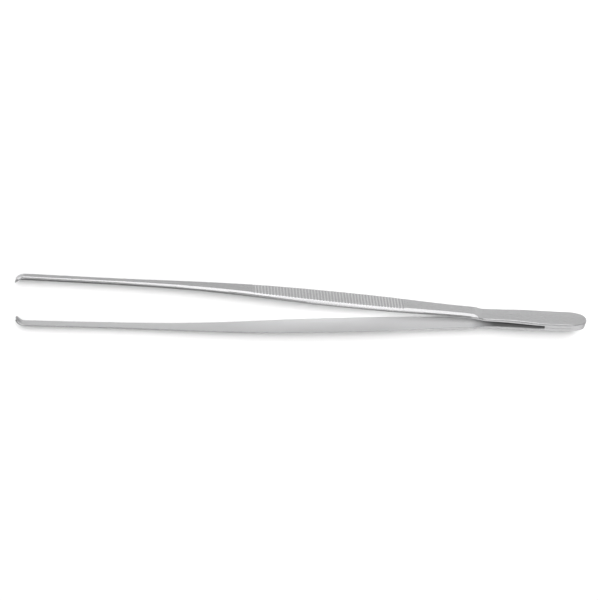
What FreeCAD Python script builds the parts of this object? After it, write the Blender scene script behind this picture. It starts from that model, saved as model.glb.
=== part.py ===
import FreeCAD, Part
import math
import os

import Sketcher

# Thumb forceps with one tooth against two: two sprung steel leaves joined flat to flat at the heel.
# The forceps lies on its side, as it comes to rest. X runs from the heel to the tips, Y is the way
# the tips open, and Z is the width of the leaves. Each leaf is drawn from the heel end at x = 0,
# with the plane where the leaves meet at y = 0 and the middle of their width at z = 0.

SIZES = [
    ("total_length", 250.0, "heel end to tips"),
    # Widths of a leaf, seen square on to its outer face
    ("heel_width", 8.6, "across the rounded heel"),
    ("nose_flat", 4.4, "height of the end of the heel before it is rounded"),
    ("nose_round", 3.0, "radius at the end of the heel"),
    ("nose_run", 5.0, "length over which the heel narrows"),
    ("heel_round", 14.0, "radius where the heel narrows"),
    ("neck_width", 6.8, "across the spring, just behind the shoulder"),
    ("neck_from", 23.5, "where the heel starts to narrow to the neck"),
    ("neck_to", 36.5, "where it has narrowed"),
    ("neck_round", 180.0, "radius of both of those curves"),
    ("grip_width", 8.8, "across the widest part of the grip"),
    ("swell_from", 66.0, "where the arm starts to widen to the grip"),
    ("swell_to", 94.0, "where it has widened"),
    ("swell_round", 650.0, "radius of both of those curves"),
    ("tip_width", 2.9, "across the tips"),
    ("taper_from", 129.0, "where the grip starts to narrow to the tip"),
    ("taper_to", 187.5, "where it has narrowed"),
    ("grip_round", 780.0, "radius where the grip starts to narrow"),
    ("tip_sweep", 1400.0, "radius where the taper runs out into the tip"),
    # Side view of a leaf: its inner face, from the joined heel to the tip
    ("weld_length", 19.6, "length over which the leaves are joined"),
    ("slot_gap", 0.8, "half the slot where it starts"),
    ("slot_round", 0.7, "radius in the corner of the slot"),
    ("spring_gap", 1.55, "half the slot at the shoulder"),
    ("arm_from", 52.3, "where the straight arm starts"),
    ("joggle_run", 5.3, "length over which the inner face steps outwards behind it"),
    ("joggle_foot_round", 15.0, "radius at the start of that step"),
    ("joggle_head_round", 20.0, "radius at its end"),
    ("arm_gap", 2.72, "half the gap between the arms there"),
    ("bend_at", 164.3, "where the straight arm is bent back"),
    ("bend_gap", 11.78, "half the gap between the arms at the bend"),
    ("bend_round", 800.0, "radius of the bend"),
    ("tip_gap", 13.2, "half the gap between the tips"),
    # Side view: thicknesses and the step on the outer face
    ("heel_thickness", 2.0, "one leaf at the heel"),
    ("rise_from", 18.5, "where the outer face of the spring rises"),
    ("rise_to", 31.5, "where it is level again"),
    ("rise_round", 200.0, "radius of both of those curves"),
    ("spring_height", 2.78, "outer face of the spring from the middle plane"),
    ("step_run", 3.3, "length of the shoulder step behind the arm"),
    ("step_foot_round", 8.5, "radius at its foot"),
    ("step_head_round", 5.0, "radius at its head"),
    ("edge_break", 0.3, "bevel along the outer edges of the heel and spring"),
    ("arm_thickness", 1.9, "along the straight arm"),
    ("tip_thickness", 1.55, "at the tip"),
    ("bevel", 0.95, "bevel along the outer edges of the arm"),
    ("tip_round", 4.2, "outer radius where the tip turns into its teeth"),
    # Ribs across the outer face of the grip
    ("rib_count", 49, "number of grooves"),
    ("rib_to_bend", 13.98, "from the last groove to the bend"),
    ("rib_pitch", 1.365, "groove to groove"),
    ("rib_width", 0.95, "width of a groove"),
    ("rib_depth", 0.2, "depth of a groove"),
    # Teeth
    ("tooth_height", 2.9, "from the inner face to the point"),
    ("tooth_root", 2.75, "length of the root along the tip"),
    ("tooth_edge", 0.25, "length of the point along the tip"),
    ("tooth_fillet", 3.2, "radius between tooth and inner face"),
    ("tooth_point_width", 0.3, "single tooth, across its point"),
    ("tooth_root_width", 1.8, "single tooth, across its root"),
    ("tooth_clearance", 0.2, "between the single tooth and the pair, a side"),
    ("tooth_shoulder", 0.2, "how far the side cuts stop short of the inner face"),
]


class Size:
    """A length together with the expression that ties it to the sheet."""

    def __init__(self, number, text):
        self.number = float(number)
        self.text = text

    def __add__(self, other):
        return Size(self.number + size_of(other).number, f"({self.text} + {size_of(other).text})")

    def __sub__(self, other):
        return Size(self.number - size_of(other).number, f"({self.text} - {size_of(other).text})")

    def __mul__(self, other):
        return Size(self.number * size_of(other).number, f"({self.text} * {size_of(other).text})")

    def __truediv__(self, other):
        return Size(self.number / size_of(other).number, f"({self.text} / {size_of(other).text})")


def size_of(value):
    return value if isinstance(value, Size) else Size(value, repr(float(value)))


doc = FreeCAD.newDocument("thumb_forceps")
sheet = doc.addObject("Spreadsheet::Sheet", "sizes")
for row, (alias, number, note) in enumerate(SIZES, start=1):
    sheet.set(f"A{row}", note)
    sheet.set(f"B{row}", str(number))
    sheet.setAlias(f"B{row}", alias)
doc.recompute()
size = {alias: Size(sheet.get(alias), f"sizes.{alias}") for alias, _, _ in SIZES}


def smaller(a, b):
    return Size(min(a.number, b.number), f"min({a.text}; {b.text})")


def slant(run, rise):
    """Length of the straight line over a run and a rise."""
    text = f"sqrt({run.text} * {run.text} + {rise.text} * {rise.text})"
    return Size(math.hypot(run.number, rise.number), text)


def fitted_round(wanted, room, run, rise):
    """The radius wanted where a line along the run turns into a slope, or the largest that its room takes."""
    return smaller(wanted, room * rise / (slant(run, rise) - run))


ZERO = size_of(0)
CLEAR = size_of(5)  # how far the outlines of cuts run past the metal
HALF = size_of(0.48)  # share of a slope that each of two like rounds may take
MORE, LESS = size_of(0.62), size_of(0.36)  # the same for a large and a small round


def corner_arc(before, corner, after, radius):
    """Ends and centre of the arc that rounds a corner between two straight lines."""
    inward = (before - corner).normalize()
    outward = (after - corner).normalize()
    half_angle = inward.getAngle(outward) / 2
    reach = radius / math.tan(half_angle)
    middle = (inward + outward).normalize()
    start = corner + inward * reach
    end = corner + outward * reach
    centre = corner + middle * (radius / math.sin(half_angle))
    turns_left = inward.cross(outward).z < 0
    return start, end, centre, turns_left


def place_point(sketch, geometry, which, x, y):
    """Ties a point of the sketch to its two sizes, or to an axis where a size is nothing."""
    for kind, axis, value in (("DistanceX", -2, x), ("DistanceY", -1, y)):
        if value is ZERO:
            sketch.addConstraint(Sketcher.Constraint("PointOnObject", geometry, which, axis))
        else:
            number = sketch.addConstraint(
                Sketcher.Constraint(kind, -1, 1, geometry, which, value.number)
            )
            sketch.setExpression(f"Constraints[{number}]", value.text)


def draw_loop(sketch, corners):
    """Draws a closed outline from its corners, each (x, y, radius), with arcs where there is a radius."""
    points = [FreeCAD.Vector(x.number, y.number, 0) for x, y, _ in corners]
    count = len(corners)
    arcs = []
    for i, (_, _, radius) in enumerate(corners):
        if radius is None:
            arcs.append(None)
        else:
            arcs.append(corner_arc(points[i - 1], points[i], points[(i + 1) % count], radius.number))
    lines = []
    for i in range(count):
        after = (i + 1) % count
        start = arcs[i][1] if arcs[i] else points[i]
        end = arcs[after][0] if arcs[after] else points[after]
        lines.append(sketch.addGeometry(Part.LineSegment(start, end), False))
    for i, (x, y, radius) in enumerate(corners):
        line_in, line_out = lines[i - 1], lines[i]
        if radius is None:
            sketch.addConstraint(Sketcher.Constraint("Coincident", line_in, 2, line_out, 1))
            place_point(sketch, line_out, 1, x, y)
            continue
        start, end, centre, turns_left = arcs[i]
        first, last = (start, end) if turns_left else (end, start)
        angles = [math.atan2(p.y - centre.y, p.x - centre.x) for p in (first, last)]
        circle = Part.Circle(centre, FreeCAD.Vector(0, 0, 1), radius.number)
        arc = sketch.addGeometry(Part.ArcOfCircle(circle, angles[0], angles[1]), False)
        point_in, point_out = (1, 2) if turns_left else (2, 1)
        sketch.addConstraint(Sketcher.Constraint("Tangent", line_in, 2, arc, point_in))
        sketch.addConstraint(Sketcher.Constraint("Tangent", arc, point_out, line_out, 1))
        number = sketch.addConstraint(Sketcher.Constraint("Radius", arc, radius.number))
        sketch.setExpression(f"Constraints[{number}]", radius.text)
        point = sketch.addGeometry(Part.Point(points[i]), True)
        sketch.addConstraint(Sketcher.Constraint("PointOnObject", point, 1, line_in))
        sketch.addConstraint(Sketcher.Constraint("PointOnObject", point, 1, line_out))
        place_point(sketch, point, 1, x, y)


def new_sketch(body, name, role):
    sketch = body.newObject("Sketcher::SketchObject", f"{body.Name}_{name}")
    plane = next(f for f in body.Origin.OriginFeatures if f.Role == role)
    sketch.AttachmentSupport = (plane, [""])
    sketch.MapMode = "FlatFace"
    return sketch


def cut_across(body, name, sketch):
    """Cuts a side view outline right through the width of the leaf."""
    pocket = body.newObject("PartDesign::Pocket", f"{body.Name}_{name}")
    pocket.Profile = sketch
    pocket.Type = "ThroughAll"
    pocket.SideType = "Symmetric"
    return pocket


blank_width = size["heel_width"] + size["grip_width"]  # the bar that a leaf is cut from is ample
tooth_at = size["total_length"] - size["tooth_root"]
point_height = size["tip_gap"] - size["tooth_height"]
joggle_from = size["arm_from"] - size["joggle_run"]
step_foot = size["arm_from"] - size["step_run"]
step_cut_from = step_foot - size["step_run"]
arm_height = size["arm_gap"] + size["arm_thickness"]
arm_slope = (size["bend_gap"] - size["arm_gap"]) / (size["bend_at"] - size["arm_from"])


def outer_height(x):
    """Outer face of the straight arm at x."""
    return arm_height + arm_slope * (x - size["arm_from"])


def add_bar(body):
    """The bar that the leaf is ground from: its inner face is finished, and its arm is a thick slab."""
    joggle = (size["joggle_run"], size["arm_gap"] - size["spring_gap"])
    joggle_room = slant(*joggle) * HALF
    rise = (size["rise_to"] - size["rise_from"], size["spring_height"] - size["heel_thickness"])
    rise_round = fitted_round(size["rise_round"], slant(*rise) * HALF, *rise)
    tooth = (size["tooth_root"] - size["tooth_edge"], size["tooth_height"])
    sketch = new_sketch(body, "bar_outline", "XY_Plane")
    draw_loop(
        sketch,
        [
            (ZERO, ZERO, None),
            (size["weld_length"], ZERO, None),
            (
                size["weld_length"],
                size["slot_gap"],
                smaller(size["slot_round"], size["slot_gap"] * (HALF * 2)),
            ),
            (
                joggle_from,
                size["spring_gap"],
                fitted_round(size["joggle_foot_round"], joggle_room, *joggle),
            ),
            (
                size["arm_from"],
                size["arm_gap"],
                fitted_round(size["joggle_head_round"], joggle_room, *joggle),
            ),
            (size["bend_at"], size["bend_gap"], size["bend_round"]),
            (
                tooth_at,
                size["tip_gap"],
                fitted_round(size["tooth_fillet"], slant(*tooth) * MORE, *tooth),
            ),
            (size["total_length"] - size["tooth_edge"], point_height, None),
            (size["total_length"], point_height, None),
            (size["total_length"], size["tip_gap"] + size["arm_thickness"], None),
            (size["bend_at"], size["bend_gap"] + size["arm_thickness"], size["bend_round"]),
            (step_cut_from, outer_height(step_cut_from), None),
            (step_cut_from, size["spring_height"], None),
            (size["rise_to"], size["spring_height"], rise_round),
            (size["rise_from"], size["heel_thickness"], rise_round),
            (ZERO, size["heel_thickness"], None),
        ],
    )
    bar = body.newObject("PartDesign::Pad", f"{body.Name}_bar")
    bar.Profile = sketch
    bar.SideType = "Symmetric"
    bar.setExpression("Length", blank_width.text)
    return bar


def cut_plan(body):
    """The outline seen square on to the outer face, cut on one side and mirrored to the other."""
    half_tip = size["tip_width"] / 2
    half_grip = size["grip_width"] / 2
    half_neck = size["neck_width"] / 2
    half_heel = size["heel_width"] / 2
    half_nose = size["nose_flat"] / 2
    beyond = size["total_length"] + CLEAR
    outside = blank_width / 2 + CLEAR
    nose = (size["nose_run"], half_heel - half_nose)
    neck = (size["neck_to"] - size["neck_from"], half_heel - half_neck)
    swell = (size["swell_to"] - size["swell_from"], half_grip - half_neck)
    taper = (size["taper_to"] - size["taper_from"], half_grip - half_tip)
    neck_round = fitted_round(size["neck_round"], slant(*neck) * HALF, *neck)
    swell_round = fitted_round(size["swell_round"], slant(*swell) * HALF, *swell)
    sweep_room = smaller(slant(*taper) * MORE, beyond - size["taper_to"])
    sketch = new_sketch(body, "plan_outline", "XZ_Plane")
    draw_loop(
        sketch,
        [
            (ZERO, ZERO, None),
            (ZERO, half_nose, fitted_round(size["nose_round"], size["nose_flat"] * HALF, *nose[::-1])),
            (
                size["nose_run"],
                half_heel,
                fitted_round(size["heel_round"], slant(*nose) - half_nose, *nose),
            ),
            (size["neck_from"], half_heel, neck_round),
            (size["neck_to"], half_neck, neck_round),
            (size["swell_from"], half_neck, swell_round),
            (size["swell_to"], half_grip, swell_round),
            (
                size["taper_from"],
                half_grip,
                fitted_round(size["grip_round"], slant(*taper) * LESS, *taper),
            ),
            (size["taper_to"], half_tip, fitted_round(size["tip_sweep"], sweep_room, *taper)),
            (beyond, half_tip, None),
            (beyond, outside, None),
            (ZERO - CLEAR, outside, None),
            (ZERO - CLEAR, ZERO, None),
        ],
    )
    cut = cut_across(body, "plan_cut", sketch)
    doc.recompute()
    mirror = body.newObject("PartDesign::Mirrored", f"{body.Name}_plan_mirror")
    mirror.Originals = [cut]
    mirror.MirrorPlane = (next(f for f in body.Origin.OriginFeatures if f.Role == "XY_Plane"), [""])
    body.Tip = mirror
    return mirror


def outer_edges(shape, start, end):
    """Edges between the outer face and the sides or the nose, with their middles from start to end."""
    found = []
    for index, edge in enumerate(shape.Edges, start=1):
        middle = edge.valueAt((edge.FirstParameter + edge.LastParameter) / 2)
        if not start.number < middle.x < end.number:
            continue
        faces = shape.ancestorsOfType(edge, Part.Face)
        ways = [face.normalAt(*face.Surface.parameter(middle)) for face in faces]
        if any(w.y > 0.9 for w in ways) and any(abs(w.y) < 0.1 for w in ways):
            found.append(f"Edge{index}")
    return found


def bevel_edges(body, name, base, start, end, width):
    """Bevels the outer edges of a stretch of the leaf."""
    bevel = body.newObject("PartDesign::Chamfer", f"{body.Name}_{name}")
    bevel.Base = (base, outer_edges(base.Shape, start, end))
    bevel.setExpression("Size", width.text)
    doc.recompute()
    return bevel


def grind_outer_face(body):
    """Grinds the outer face to its final line: the shoulder step, the thinner tip and its round."""
    beyond = size["total_length"] + CLEAR
    above = size["tip_gap"] + size["arm_thickness"] + CLEAR
    tip_height = size["tip_gap"] + size["tip_thickness"]
    end_height = size["tip_thickness"] + size["tooth_height"]
    step = (size["step_run"], arm_height - size["spring_height"])
    sketch = new_sketch(body, "outer_line", "XY_Plane")
    draw_loop(
        sketch,
        [
            (step_cut_from, size["spring_height"], None),
            (
                step_foot,
                size["spring_height"],
                fitted_round(size["step_foot_round"], slant(*step) * MORE, *step),
            ),
            (
                size["arm_from"],
                arm_height,
                fitted_round(size["step_head_round"], slant(*step) * LESS, *step),
            ),
            (size["bend_at"], size["bend_gap"] + size["arm_thickness"], size["bend_round"]),
            (
                size["total_length"],
                tip_height,
                smaller(size["tip_round"], end_height - size["tooth_edge"]),
            ),
            (size["total_length"], point_height, None),
            (beyond, point_height, None),
            (beyond, above, None),
            (step_cut_from, above, None),
        ],
    )
    return cut_across(body, "outer_grind", sketch)


def cut_ribs(body):
    """One groove across the grip, repeated along the outer face."""
    last = size["bend_at"]
    first = last - size["rib_to_bend"] - size["rib_pitch"] * (size["rib_count"] - 1)
    lip = size["rib_depth"]  # the cutter stands as far above the face as it reaches below
    half_cutter = size["rib_width"]  # so its half width up there is the width at the face
    sketch = new_sketch(body, "rib_outline", "XY_Plane")
    draw_loop(
        sketch,
        [
            (first, outer_height(first) - size["rib_depth"], None),
            (first + half_cutter, outer_height(first) + lip, None),
            (first - half_cutter, outer_height(first) + lip, None),
        ],
    )
    guide = sketch.addGeometry(
        Part.LineSegment(
            FreeCAD.Vector(first.number, outer_height(first).number, 0),
            FreeCAD.Vector(last.number, outer_height(last).number, 0),
        ),
        True,
    )
    place_point(sketch, guide, 1, first, outer_height(first))
    place_point(sketch, guide, 2, last, outer_height(last))
    groove = cut_across(body, "rib_groove", sketch)
    doc.recompute()
    ribs = body.newObject("PartDesign::LinearPattern", f"{body.Name}_ribs")
    ribs.Originals = [groove]
    ribs.Direction = (sketch, ["Axis0"])
    ribs.Mode = "Spacing"
    ribs.setExpression("Offset", size["rib_pitch"].text)
    ribs.setExpression("Occurrences", size["rib_count"].text)
    body.Tip = ribs
    return ribs


def end_sketch(body, name):
    """A sketch square to the leaf at its tip, with y to the right and z up."""
    sketch = new_sketch(body, name, "YZ_Plane")
    sketch.AttachmentOffset = FreeCAD.Placement(
        FreeCAD.Vector(0, 0, size["total_length"].number), FreeCAD.Rotation()
    )
    sketch.setExpression(".AttachmentOffset.Base.z", size["total_length"].text)
    return sketch


def cut_tip(body, name, sketch):
    """Cuts an end view outline back over the length of the teeth."""
    pocket = body.newObject("PartDesign::Pocket", f"{body.Name}_{name}")
    pocket.Profile = sketch
    reach = size["tooth_root"] + size["tooth_fillet"]
    pocket.setExpression("Length", reach.text)
    return pocket


def cut_single_tooth(body):
    """Leaves one tapered tooth in the middle of the tip."""
    root_height = size["tip_gap"] - size["tooth_shoulder"]
    below = point_height - CLEAR
    sketch = end_sketch(body, "single_tooth_outline")
    for side in (1, -1):
        half_root = size["tooth_root_width"] * (side / 2)
        half_point = size["tooth_point_width"] * (side / 2)
        outside = blank_width * (side / 2)
        draw_loop(
            sketch,
            [
                (root_height, half_root, None),
                (root_height, outside, None),
                (below, outside, None),
                (below, half_point, None),
                (point_height, half_point, None),
            ],
        )
    return cut_tip(body, "single_tooth", sketch)


def cut_double_tooth(body):
    """Leaves two teeth, with a notch between them that takes the single tooth with clearance."""
    root_height = size["tip_gap"] - size["tooth_shoulder"]
    below = point_height - CLEAR
    half_mouth = size["tooth_root_width"] / 2 + size["tooth_clearance"]
    half_floor = size["tooth_point_width"] / 2 + size["tooth_clearance"]
    sketch = end_sketch(body, "double_tooth_outline")
    draw_loop(
        sketch,
        [
            (root_height, half_floor, None),
            (point_height, half_mouth, None),
            (below, half_mouth, None),
            (below, ZERO - half_mouth, None),
            (point_height, ZERO - half_mouth, None),
            (root_height, ZERO - half_floor, None),
        ],
    )
    return cut_tip(body, "double_tooth", sketch)


def make_leaf(name, quarter_turns, cut_teeth):
    """One leaf; the second of the pair is the same form turned over about X."""
    body = doc.addObject("PartDesign::Body", name)
    body.Label = name
    add_bar(body)
    doc.recompute()
    trimmed = cut_plan(body)
    doc.recompute()
    broken = bevel_edges(body, "edge_break", trimmed, ZERO - CLEAR, step_cut_from, size["edge_break"])
    bevel_edges(body, "bevel", broken, step_cut_from, size["total_length"], size["bevel"])
    grind_outer_face(body)
    doc.recompute()
    cut_ribs(body)
    doc.recompute()
    cut_teeth(body)
    doc.recompute()
    body.Placement = FreeCAD.Placement(
        FreeCAD.Vector(-size["total_length"].number / 2, 0, size["grip_width"].number / 2),
        FreeCAD.Rotation(FreeCAD.Vector(1, 0, 0), 90 * quarter_turns),
    )
    body.setExpression(".Placement.Base.x", (ZERO - size["total_length"] / 2).text)
    body.setExpression(".Placement.Base.z", (size["grip_width"] / 2).text)
    return body


leaves = [
    make_leaf("single_tooth_arm", 2, cut_single_tooth),
    make_leaf("double_tooth_arm", 0, cut_double_tooth),
]
doc.recompute()

failed = [o.Name for o in doc.Objects if {"Invalid", "Error"} & set(o.State)]
if failed:
    raise SystemExit(f"these objects failed: {failed}")
for body in leaves:
    if body.Shape.isNull() or not body.Shape.isValid() or len(body.Shape.Solids) != 1:
        raise SystemExit(f"{body.Label} is not one valid solid")

os.makedirs("parts", exist_ok=True)
for body in leaves:
    body.Shape.exportStep(f"parts/{body.Label}.step")
    box = body.Shape.BoundBox
    print(body.Label, "volume", round(body.Shape.Volume, 1), "box", box)
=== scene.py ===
import math

import bmesh
import bpy
import numpy as np
from mathutils import Matrix, Vector


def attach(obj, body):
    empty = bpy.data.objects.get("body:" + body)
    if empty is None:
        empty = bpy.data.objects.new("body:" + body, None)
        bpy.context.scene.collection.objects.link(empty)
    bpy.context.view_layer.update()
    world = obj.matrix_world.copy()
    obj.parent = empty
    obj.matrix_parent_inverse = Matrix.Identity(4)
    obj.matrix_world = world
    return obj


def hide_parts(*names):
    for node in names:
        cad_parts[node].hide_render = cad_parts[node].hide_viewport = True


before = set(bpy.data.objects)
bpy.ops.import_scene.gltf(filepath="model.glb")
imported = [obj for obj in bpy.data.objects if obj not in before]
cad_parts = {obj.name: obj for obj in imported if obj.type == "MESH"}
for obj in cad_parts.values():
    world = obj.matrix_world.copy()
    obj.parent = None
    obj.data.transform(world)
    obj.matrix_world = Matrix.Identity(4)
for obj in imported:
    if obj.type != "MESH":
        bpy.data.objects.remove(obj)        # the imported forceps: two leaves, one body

scene = bpy.context.scene
mm = 0.001
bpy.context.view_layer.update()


print("frame loaded:", sorted(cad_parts))


# The leaf, in mm. s runs along it from the heel end, out is the height above the plane where the
# leaves meet, and across is the place in its width. An outline is corners (s, height, radius), and
# a table is pairs (s, value).
leaf = {
    "length": 250.0,
    "middle": 4.4,          # height of the middle of the width above the table
    "halfWidth": [(0, 0, 0), (0, 2.2, 3.0), (5.0, 4.3, 14), (23.5, 4.3, 180), (36.5, 3.4, 180),
                  (66, 3.4, 650), (94, 4.4, 650), (129, 4.4, 780), (187.5, 1.45, 1400), (250, 1.45, 0)],
    "inner": [(0, 0, 0), (19.6, 0, 0), (19.6, 0.8, 0.7), (47, 1.55, 15), (52.3, 2.72, 20),
              (164.3, 11.78, 800), (247.25, 13.2, 3.2), (249.75, 10.3, 0), (250, 10.3, 0)],
    "outer": [(0, 2.0, 0), (18.5, 2.0, 200), (31.5, 2.78, 200), (49, 2.78, 8.5), (52.3, 4.62, 5),
              (164.3, 13.68, 800), (250, 14.75, 0)],
    # the arm's outer line carried on past the shoulder, so that the bevel runs out on the spring
    "slab": [(0, 0.389, 0), (52.3, 4.62, 0), (164.3, 13.68, 800), (250, 14.75, 0)],
    "slabFrom": 44.0,
    "bevel": [(52, 1.15), (80, 1.26), (125, 1.24), (165, 0.88), (190, 0.78), (243, 0.62)],   # width
    "bevelDrop": [(59, 1.0), (77, 1.08), (95, 1.13), (125, 1.22), (150, 1.16)],     # depth over width
    "bevelMost": 0.82,      # largest share of the half width
    "edgeBreak": 0.3,       # the smaller bevel of the heel and spring
    "noseEnds": 9.0,        # up to here the heel's outline is round enough to turn its edge break
    "tipRound": 4.2,
    "tipHeight": 14.70,
    "toothZone": 244.0,     # the cuts between the teeth reach back to here
    "pointHeight": 10.3,    # height of the tooth points
    "toothEdge": 0.04,      # thickness left where the cuts run out on the round of the tip
    "weldLength": 19.6,
    "draft": 0.14,          # how far the sides of the arm lean in from the inner to the outer face
    "draftFrom": 50.0,
    "draftOver": 6.0,
    "edgeRound": 0.10,
    "seamRound": 0.05,      # the edges that meet in the seam of the heel
    "fullRoundAt": 0.8,     # where the side is thinner than this, its roundings are smaller
    "roundRise": 0.9,       # how steeply the outer rounding leaves the bevel
    "sharpAngle": 32,
    "ribFirst": 84.8,
    "ribPitch": 1.365,
    "ribCount": 49,
    "ribDepth": 0.17,
    "ribFade": 0.25,        # part of a pitch over which the first and last groove start
    "ribRunOut": 0.22,      # the grooves run out this far down the bevel
    # painted tones are 0 for painted light, 0.5 for plain steel and 1 for painted shade
    # the inner face: painted shade in the slot, painted light past the shoulder, then painted shade
    # growing towards the tips
    "innerPaintedShade": [(42, 1.0), (52, 0.0), (80, 0.0), (160, 0.5), (220, 0.53), (244, 0.58), (249, 0.62)],
    "heelPaintedLight": {"by": 0.14, "from": 120, "over": -40},        # painted light, lighter from here towards the heel
    "hookPaintedHighlight": {"by": 0.5, "from": 245.5, "over": 2},         # and a painted highlight on the hook
    "steps": {              # how finely it is divided
        "flat": [0, 0.088, 0.176, 0.29, 0.412, 0.6, 0.8, 0.92, 1.0],   # shares, from the middle
        "slope": [0.1, 0.25, 0.42, 0.6, 0.78, 0.92],                   # shares, down the bevel
        "rounding": 4,          # points in the rounding of an edge
        "nose": (3.0, 22),      # length and number of places that crowd towards an end
        "slot": (0.8, 7),
        "tip": (6.0, 44),
        "rib": 8,
        "even": [(3.4, 9.0, 0.4), (9.0, 19.2, 0.8), (21, 45, 1.0), (45, 55, 0.2), (55, 84, 1.0),
                 (152, 243.9, 1.1)],    # from, to and step
        "corners": [19.598, 247.25, 249.75],
        "least": 0.03,          # the last step before the end of a column isn't shorter
        "merge": 1e-7,          # m
    },
}
steps = leaf["steps"]
tipCentre = (leaf["length"] - leaf["tipRound"], leaf["tipHeight"] - leaf["tipRound"])


def roundedLine(corners, s):
    # height at s of a broken line with rounded corners: the straight line between corners, and
    # centre +- sqrt(radius^2 - (s - centre)^2) between the touching points of each arc
    tiny = 1e-9
    points = np.array([c[:2] for c in corners], float)
    height = np.interp(s, points[:, 0] + np.arange(len(points)) * tiny, points[:, 1])
    for i in range(1, len(corners) - 1):
        radius = corners[i][2]
        if not radius:
            continue
        back = points[i - 1] - points[i]
        ahead = points[i + 1] - points[i]
        back = back / np.linalg.norm(back)
        ahead = ahead / np.linalg.norm(ahead)
        half = math.acos(np.clip(back @ ahead, -1, 1)) / 2
        middle = (back + ahead) / np.linalg.norm(back + ahead)
        start = points[i] + back * radius / math.tan(half)
        end = points[i] + ahead * radius / math.tan(half)
        centre = points[i] + middle * radius / math.sin(half)
        on = (s >= min(start[0], end[0]) - tiny) & (s <= max(start[0], end[0]) + tiny)
        rise = np.sqrt(np.clip(radius ** 2 - (s - centre[0]) ** 2, 0, None))
        height = np.where(on, centre[1] - np.sign(middle[1]) * rise, height)
    return height


def fromTable(pairs, x):
    return np.interp(x, *zip(*pairs))


def smoothStep(x):
    # 3x^2 - 2x^3, held at 0 and 1 outside
    x = np.clip(x, 0, 1)
    return x * x * (3 - 2 * x)


def lighterBy(patch, s):
    # how much lighter a patch is at s: it comes in smoothly over its length
    return patch["by"] * smoothStep((s - patch["from"]) / patch["over"])


def stations():
    # places along the leaf where its section is worked out: even steps, closer together round the
    # heel, at the end of the slot, at the shoulder, over the ribs and round the tip. The close ones
    # are span * (1 - cos(angle)) from an end, for even angles up to a right angle
    def crowded(span, count):
        return span * (1 - np.cos(np.linspace(0, math.pi / 2, count)))

    ribSpan = leaf["ribPitch"] * leaf["ribCount"]
    ribPlaces = np.linspace(0, ribSpan, leaf["ribCount"] * steps["rib"] + 1)
    s = np.concatenate([
        crowded(*steps["nose"]), leaf["weldLength"] + crowded(*steps["slot"]),
        leaf["ribFirst"] - leaf["ribPitch"] / 2 + ribPlaces,
        leaf["length"] - crowded(*steps["tip"]), steps["corners"],
    ] + [np.arange(*run) for run in steps["even"]])
    s = np.unique(np.round(s, 5))
    return s[np.append(True, np.diff(s) > 1e-4)]


def ribWave(s):
    # 1 in the middle of a groove, 0 on a land: 1/2 + 1/2 cos(turn) of the place along the ribs, and
    # how far the ribs have started there
    turn = (s - leaf["ribFirst"]) / leaf["ribPitch"]
    fromEnd = np.minimum(turn + 0.5, leaf["ribCount"] - 0.5 - turn)
    return 0.5 + 0.5 * np.cos(2 * math.pi * turn), np.clip(fromEnd / leaf["ribFade"], 0, 1)


def tipLine(s, inset):
    # outer line pushed in by an inset: on the arm it is that much lower, and round the tip it is
    # centre + sqrt((radius - inset)^2 - (s - centre)^2)
    radius = leaf["tipRound"] - inset
    onArm = roundedLine(leaf["outer"], s) - inset
    onTip = tipCentre[1] + np.sqrt(np.clip(radius ** 2 - (s - tipCentre[0]) ** 2, 0, None))
    return np.where(s > tipCentre[0], np.minimum(onTip, onArm), onArm)


def stopAtTip(s, cut, inset):
    # s as far as the place where that line comes down to the height of a cut, which is
    # centre + sqrt((radius - inset)^2 - rise^2), without a short last step that leaves a sliver
    radius = leaf["tipRound"] - inset
    rise = np.clip(cut - tipCentre[1], 0, radius)
    end = tipCentre[0] + np.sqrt(radius ** 2 - rise ** 2)
    return np.where(s > end - steps["least"], end, s)


def pair(a, b):
    return np.stack([a, b], -1)


def rounding(a, knee, b):
    # points of a small rounding: (1-t)^2 a + 2t(1-t) knee + t^2 b
    t = np.linspace(0, 1, steps["rounding"])[None, :, None]
    return (1 - t) ** 2 * a[:, None] + 2 * t * (1 - t) * knee[:, None] + t ** 2 * b[:, None]


def bothHalves(half, sign=1):
    # the whole width from the values of one half; sign is -1 for places across
    return np.concatenate([sign * half[:, 1:][:, ::-1], half], axis=1)


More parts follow.
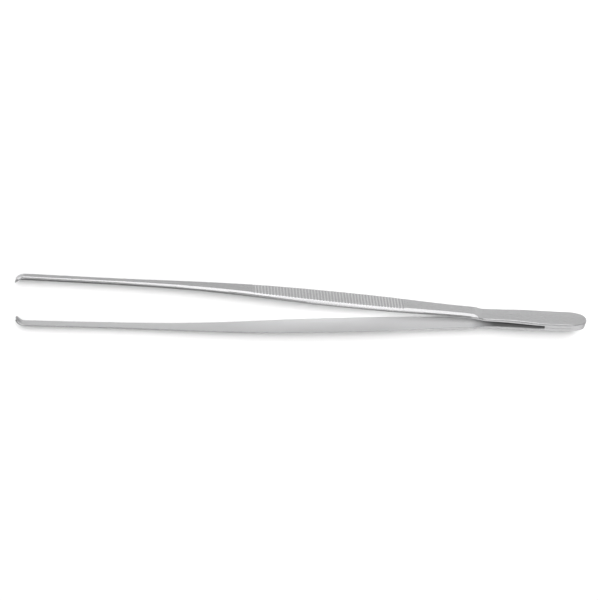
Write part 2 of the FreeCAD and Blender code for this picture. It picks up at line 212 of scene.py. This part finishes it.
def leafSections(toothCut):
    # a loop round the leaf at each station: across the outer face and its bevels, round the side,
    # back across the inner face and round the other side. Gives s, across, out and the painted
    # light and shade as grids, the number of points across a face and down a side, and where the arm is
    s = stations()[:, None]
    flat = np.array(steps["flat"])[None, :]
    slope = np.array(steps["slope"])[None, :]
    w = roundedLine(leaf["halfWidth"], s)
    armBevel = fromTable(leaf["bevel"], s)
    armBevel = armBevel - (roundedLine(leaf["slab"], s) - roundedLine(leaf["outer"], s))
    bevel = np.where(s > leaf["slabFrom"], armBevel, 0)
    bevel = np.clip(np.maximum(bevel, leaf["edgeBreak"]), 0, leaf["bevelMost"] * w)
    lean = leaf["draft"] * smoothStep((s - leaf["draftFrom"]) / leaf["draftOver"])

    # the outline of the heel turns by this angle, so its edge break is set in along s as well
    turn = np.arctan2(roundedLine(leaf["halfWidth"], s + 1e-3) - w, 1e-3)
    turn = np.where(s < leaf["noseEnds"], turn, 0)
    share = np.concatenate([flat * 0, slope], axis=1)           # 0 on the flat, towards 1 down the bevel
    inset = np.where(s < leaf["noseEnds"], leaf["edgeBreak"], bevel)
    rim = np.clip(w - inset * np.cos(turn), 0, None)
    across = np.concatenate([flat * rim, rim + slope * (w - lean * 0.5 - rim)], axis=1)
    depth = inset * fromTable(leaf["bevelDrop"], s)             # of the bevel, from the flat to the side
    drop = share * depth

    # the cuts between the teeth end each column where the round of the tip comes down to them
    inTip = s > leaf["toothZone"]
    cut = np.where(inTip, fromTable(toothCut, across), leaf["pointHeight"])
    edgeCut = np.where(inTip, fromTable(toothCut, w), leaf["pointHeight"])
    faceS = stopAtTip(s, cut, drop) + inset * np.sin(turn) * (1 - share)
    sideS = stopAtTip(s, edgeCut, depth)
    faceInner = np.maximum(roundedLine(leaf["inner"], faceS), np.where(inTip, cut, -1))
    sideInner = np.maximum(roundedLine(leaf["inner"], sideS), np.where(inTip, edgeCut, -1))
    wave, ribbed = ribWave(faceS)
    ribbed = ribbed * np.clip(1 - drop / leaf["ribRunOut"], 0, 1)
    faceOuter = tipLine(faceS, drop) - leaf["ribDepth"] * wave * ribbed
    faceOuter = np.maximum(faceOuter, faceInner + leaf["toothEdge"])
    sideOuter = np.maximum(tipLine(sideS, depth), sideInner + leaf["toothEdge"])

    # the side, with a small rounding at each of its edges
    top, bottom, upper, lower = (w - lean)[:, 0], w[:, 0], sideOuter[:, 0], sideInner[:, 0]
    size = np.clip((upper - lower) / leaf["fullRoundAt"], 0, 1)
    roundOut = leaf["edgeRound"] * size
    roundIn = np.where(s[:, 0] < leaf["weldLength"], leaf["seamRound"], leaf["edgeRound"]) * size
    edge = np.concatenate([
        rounding(pair(top - roundOut, upper + roundOut * leaf["roundRise"]), pair(top, upper),
                 pair(top, upper - roundOut)),
        rounding(pair(bottom, lower + roundIn), pair(bottom, lower), pair(bottom - roundIn, lower)),
    ], axis=1)
    across = np.minimum(across, (top - roundOut)[:, None])
    innerAcross = np.minimum(across, (bottom - roundIn)[:, None])

    faceS = bothHalves(faceS)
    sideS = np.repeat(sideS, edge.shape[1], axis=1)
    # painted light and shade: the rib lands are painted lighter than the grooves as a painted highlight,
    # the heel half is painted lighter, the hook gets a painted highlight, and the inner face its painted
    # shade and light along the leaf
    outerPaintedShade = 0.5 + bothHalves((wave - 0.5) * ribbed)
    outerPaintedShade = outerPaintedShade - lighterBy(leaf["heelPaintedLight"], faceS) - lighterBy(leaf["hookPaintedHighlight"], faceS)
    innerPaintedShade = fromTable(leaf["innerPaintedShade"], faceS)
    sidePaintedShade = 0.5 - lighterBy(leaf["hookPaintedHighlight"], sideS)
    loops = [
        (faceS, sideS, faceS[:, ::-1], sideS),
        (bothHalves(across, -1), edge[..., 0], bothHalves(innerAcross, -1)[:, ::-1], -edge[:, ::-1, 0]),
        (bothHalves(faceOuter), edge[..., 1], bothHalves(faceInner)[:, ::-1], edge[:, ::-1, 1]),
        (outerPaintedShade, sidePaintedShade, innerPaintedShade[:, ::-1], sidePaintedShade),
    ]
    grids = [np.concatenate(parts, axis=1) for parts in loops]
    return grids, faceS.shape[1], edge.shape[1], s[:-1, 0] > leaf["slabFrom"]


def capFaces(loop, row, corner):
    # an end of the grid: a strip between the outer and the inner row, and both sides
    outerRow, innerRow = loop[:row], loop[row + corner:2 * row + corner][::-1]
    strip = np.stack([outerRow[:-1], outerRow[1:], innerRow[1:], innerRow[:-1]], -1)
    nearSide = list(loop[row - 1:row + corner + 1])
    farSide = list(loop[2 * row + corner - 1:]) + [loop[0]]
    return strip.tolist() + [nearSide, farSide]


faceKinds = ["groundFace", "innerFace", "bevelFace"]


def buildLeaf(name, side, toothCut):
    # a leaf is the grid of its sections, closed at both ends. side is +1 or -1, the way the outer
    # face looks along Y
    (gridS, gridAcross, gridOut, gridPaintedShade), row, corner, onArm = leafSections(toothCut)
    places = np.stack([
        (gridS - leaf["length"] / 2) * mm, side * gridOut * mm, (gridAcross + leaf["middle"]) * mm,
    ], axis=-1).reshape(-1, 3)
    index = np.arange(gridS.size).reshape(gridS.shape)
    quads = np.stack([
        index[:-1], np.roll(index[:-1], -1, axis=1), np.roll(index[1:], -1, axis=1), index[1:],
    ], axis=-1)
    kind = np.full(quads.shape[:2], faceKinds.index("groundFace"))
    kind[:, row + corner - 1:2 * row + corner] = faceKinds.index("innerFace")
    bevelSteps = len(steps["slope"])
    for strip in (slice(0, bevelSteps), slice(row - 1 - bevelSteps, row), slice(-1, None)):
        kind[onArm, strip] = faceKinds.index("bevelFace")

    faces = quads.reshape(-1, 4).tolist()
    faces += capFaces(index[0], row, corner) + capFaces(index[-1], row, corner)
    mesh = bpy.data.meshes.new(name)
    mesh.from_pydata(places.tolist(), [], [tuple(int(v) for v in f) for f in faces])
    mesh.update()
    # painted light and shade at each point, which sets the steel's grey
    paintedShade = mesh.attributes.new("paintedShade", "FLOAT", "POINT")
    paintedShade.data.foreach_set("value", gridPaintedShade.reshape(-1).astype(np.float32))
    finish = np.zeros(len(faces), np.int32)
    finish[:kind.size] = kind.reshape(-1)
    mesh.polygons.foreach_set("material_index", finish)
    work = bmesh.new()
    work.from_mesh(mesh)
    bmesh.ops.remove_doubles(work, verts=work.verts, dist=steps["merge"])
    bmesh.ops.recalc_face_normals(work, faces=work.faces)
    work.to_mesh(mesh)
    work.free()
    mesh.shade_smooth()
    mesh.set_sharp_from_angle(angle=math.radians(leaf["sharpAngle"]))
    piece = bpy.data.objects.new(name, mesh)
    scene.collection.objects.link(piece)
    return piece


# Satin stainless steel, as linear shades of grey: the lightest grey of each kind of face is painted light
# and the darkest is painted shade
steel = {
    "groundFace": {"light": 0.47, "plain": 0.333, "paintedDark": 0.335, "metal": 1.0, "rough": (0.23, 0.33)},
    "innerFace": {"light": 0.55, "plain": 0.335, "paintedDark": 0.14, "metal": 0.45, "rough": (0.38, 0.46)},
    "bevelFace": {"light": 0.355, "plain": 0.355, "paintedDark": 0.345, "metal": 1.0, "rough": (0.18, 0.26)},
    "blue": 1.01,           # how much more blue there is than red and green
    "grain": (240, 9000, 9000),     # grinding lines per metre along the leaf and across it
    "grainDetail": 3.0,
    "lineStrength": 0.08,
    "lineDepth": 0.02,      # mm
}


def satinSteel(name):
    # metal with fine grinding lines along the leaf in its roughness and relief, coloured between
    # painted light, plain steel and painted shade by the painted shade at each point
    finish = steel[name]
    material = bpy.data.materials.new(name)
    material.use_nodes = True
    nodes, links = material.node_tree.nodes, material.node_tree.links
    shader = nodes["Principled BSDF"]
    shader.inputs["Metallic"].default_value = finish["metal"]
    place = nodes.new("ShaderNodeTexCoord")
    stretch = nodes.new("ShaderNodeMapping")
    stretch.inputs["Scale"].default_value = steel["grain"]
    links.new(place.outputs["Object"], stretch.inputs["Vector"])
    grain = nodes.new("ShaderNodeTexNoise")
    grain.inputs["Scale"].default_value = 1.0
    grain.inputs["Detail"].default_value = steel["grainDetail"]
    links.new(stretch.outputs["Vector"], grain.inputs["Vector"])
    spread = nodes.new("ShaderNodeMapRange")
    spread.inputs["To Min"].default_value, spread.inputs["To Max"].default_value = finish["rough"]
    links.new(grain.outputs["Fac"], spread.inputs["Value"])
    links.new(spread.outputs["Result"], shader.inputs["Roughness"])
    lines = nodes.new("ShaderNodeBump")
    lines.inputs["Strength"].default_value = steel["lineStrength"]
    lines.inputs["Distance"].default_value = steel["lineDepth"] * mm
    links.new(grain.outputs["Fac"], lines.inputs["Height"])
    links.new(lines.outputs["Normal"], shader.inputs["Normal"])
    paintedShade = nodes.new("ShaderNodeAttribute")
    paintedShade.attribute_name = "paintedShade"
    colour = nodes.new("ShaderNodeValToRGB")
    stops = colour.color_ramp.elements
    stops.new(0.5)
    # the stops are painted light, plain steel and painted shade
    for stop, key in zip(stops, ("light", "plain", "paintedDark")):
        stop.color = (finish[key], finish[key], finish[key] * steel["blue"], 1)
    links.new(paintedShade.outputs["Fac"], colour.inputs["Fac"])
    links.new(colour.outputs["Color"], shader.inputs["Base Color"])
    return material


# Both leaves are the same apart from their teeth. A cut is a table (across, height) that shapes
# them, as seen on the end of the tip
leaves = {
    "singleToothLeaf": {"node": "single_tooth_arm", "side": -1,
                        "cut": [(0, 10.3), (0.15, 10.3), (0.9, 13.0), (2.0, 13.0)]},
    "doubleToothLeaf": {"node": "double_tooth_arm", "side": 1,
                        "cut": [(0, 13.0), (0.35, 13.0), (1.1, 10.3), (2.0, 10.3)]},
}
finishes = [satinSteel(name) for name in faceKinds]
for name, one in leaves.items():
    piece = buildLeaf(name, one["side"], one["cut"])
    for material in finishes:
        piece.data.materials.append(material)
    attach(piece, "root")
    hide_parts(one["node"])
    print("leaf made:", name, len(piece.data.polygons), "faces")


# Table and light. Azimuths turn from -Y towards +X, distances and sizes are in metres
studio = {
    "floorColour": (0.93, 0.93, 0.93, 1),
    "floorRough": 0.9,
    "floorReach": 6.0,
    "room": 0.14,
    "sun": {"strength": 3.7, "spread": 26, "azimuth": 2, "elevation": 36},
    "cards": {
        "front": {"radiance": 2.6, "size": (1.9, 0.8), "azimuth": 0, "elevation": 42, "on": "both"},
        "tipSide": {"radiance": 2.1, "size": (2.2, 1.4), "azimuth": 64, "elevation": 30, "on": "steel"},
        "back": {"radiance": 1.1, "size": (0.8, 0.9), "azimuth": 165, "elevation": 25, "on": "steel"},
        "heelSide": {"radiance": 1.75, "size": (1.8, 1.3), "azimuth": 218, "elevation": 30, "on": "steel"},
        "high": {"radiance": 0.8, "size": (0.25, 0.5), "azimuth": 194, "elevation": 62, "on": "steel"},
        "brow": {"radiance": 1.6, "size": (1.4, 0.5), "azimuth": -5, "elevation": 60, "on": "steel"},
        "sky": {"radiance": 0.7, "size": (1.0, 0.9), "azimuth": 180, "elevation": 84, "on": "steel"},
        "heelFront": {"radiance": 1.3, "size": (1.2, 0.9), "azimuth": -56, "elevation": 18, "on": "steel"},
        "top": {"radiance": 2.4, "size": (0.4, 0.4), "azimuth": -20, "elevation": 72, "on": "table",
                "distance": 0.86},
    },
    "cardDistance": 1.6,    # of the cards that don't give their own
}


def addFloor():
    reach = studio["floorReach"]
    mesh = bpy.data.meshes.new("tableTop")
    mesh.from_pydata([(-reach, -reach, 0), (reach, -reach, 0), (reach, reach, 0), (-reach, reach, 0)],
                     [], [(0, 1, 2, 3)])
    floor = bpy.data.objects.new("tableTop", mesh)
    scene.collection.objects.link(floor)
    paper = bpy.data.materials.new("whitePaper")
    paper.use_nodes = True
    shader = paper.node_tree.nodes["Principled BSDF"]
    shader.inputs["Base Color"].default_value = studio["floorColour"]
    shader.inputs["Roughness"].default_value = studio["floorRough"]
    shader.inputs["Specular IOR Level"].default_value = 0.0
    mesh.materials.append(paper)


def wayTo(azimuth, elevation):
    # direction (sin a cos e, -cos a cos e, sin e)
    turn, tilt = math.radians(azimuth), math.radians(elevation)
    return Vector((math.sin(turn) * math.cos(tilt), -math.cos(turn) * math.cos(tilt), math.sin(tilt)))


def addCard(name, card):
    # a softbox of an even radiance: its power is radiance * pi * area. It lights the steel, the
    # table or both
    light = bpy.data.lights.new(name, "AREA")
    light.shape = "RECTANGLE"
    light.size, light.size_y = card["size"]
    light.energy = card["radiance"] * math.pi * card["size"][0] * card["size"][1]
    holder = bpy.data.objects.new(name, light)
    way = wayTo(card["azimuth"], card["elevation"])
    holder.location = way * card.get("distance", studio["cardDistance"])
    holder.rotation_euler = way.to_track_quat("Z", "Y").to_euler()
    holder.visible_camera = False
    holder.visible_diffuse = card["on"] != "steel"
    holder.visible_glossy = card["on"] != "table"
    scene.collection.objects.link(holder)


def addSun():
    # the lamp that throws the soft shadow behind each leaf
    sun = studio["sun"]
    light = bpy.data.lights.new("sun", "SUN")
    light.energy = sun["strength"]
    light.angle = math.radians(sun["spread"])
    holder = bpy.data.objects.new("sun", light)
    holder.rotation_euler = wayTo(sun["azimuth"], sun["elevation"]).to_track_quat("Z", "Y").to_euler()
    holder.visible_glossy = False
    scene.collection.objects.link(holder)


def addRoom():
    # even white light from all round
    world = bpy.data.worlds.new("room")
    world.use_nodes = True
    background = world.node_tree.nodes["Background"]
    background.inputs["Color"].default_value = (1, 1, 1, 1)
    background.inputs["Strength"].default_value = studio["room"]
    scene.world = world
    scene.view_settings.view_transform = "Standard"


addFloor()
addSun()
for name, card in studio["cards"].items():
    addCard(name, card)
addRoom()


# The camera sees the object turned half round, with its tips on the left
view = {
    "azimuth": -12.32,
    "elevation": 45.51,
    "roll": 180 - 6.56,
    "distance": 0.6127,
    "target": (0.00335, -0.00016, -0.0024),
    "sensor": 36,
    "focal": 1404 / 600,    # in widths of the picture
}


def addCamera():
    # back = (-sin a cos e, -cos a cos e, sin e); right and up are turned by the roll about it
    turn, tilt, roll = (math.radians(view[k]) for k in ("azimuth", "elevation", "roll"))
    back = np.array([-math.sin(turn) * math.cos(tilt), -math.cos(turn) * math.cos(tilt), math.sin(tilt)])
    right = np.cross(-back, (0, 0, 1))
    right = right / np.linalg.norm(right)
    up = np.cross(right, -back)
    rows = np.eye(4)
    rows[:3, 0] = math.cos(roll) * right + math.sin(roll) * up
    rows[:3, 1] = -math.sin(roll) * right + math.cos(roll) * up
    rows[:3, 2] = back
    rows[:3, 3] = np.array(view["target"]) + back * view["distance"]
    lens = bpy.data.cameras.new("camera")
    lens.sensor_width = view["sensor"]
    lens.lens = view["focal"] * view["sensor"]
    lens.clip_start = 0.01
    camera = bpy.data.objects.new("camera", lens)
    camera.matrix_world = Matrix(rows.tolist())
    scene.collection.objects.link(camera)
    scene.camera = camera


addCamera()
print("camera and lights set")
bpy.context.view_layer.update()
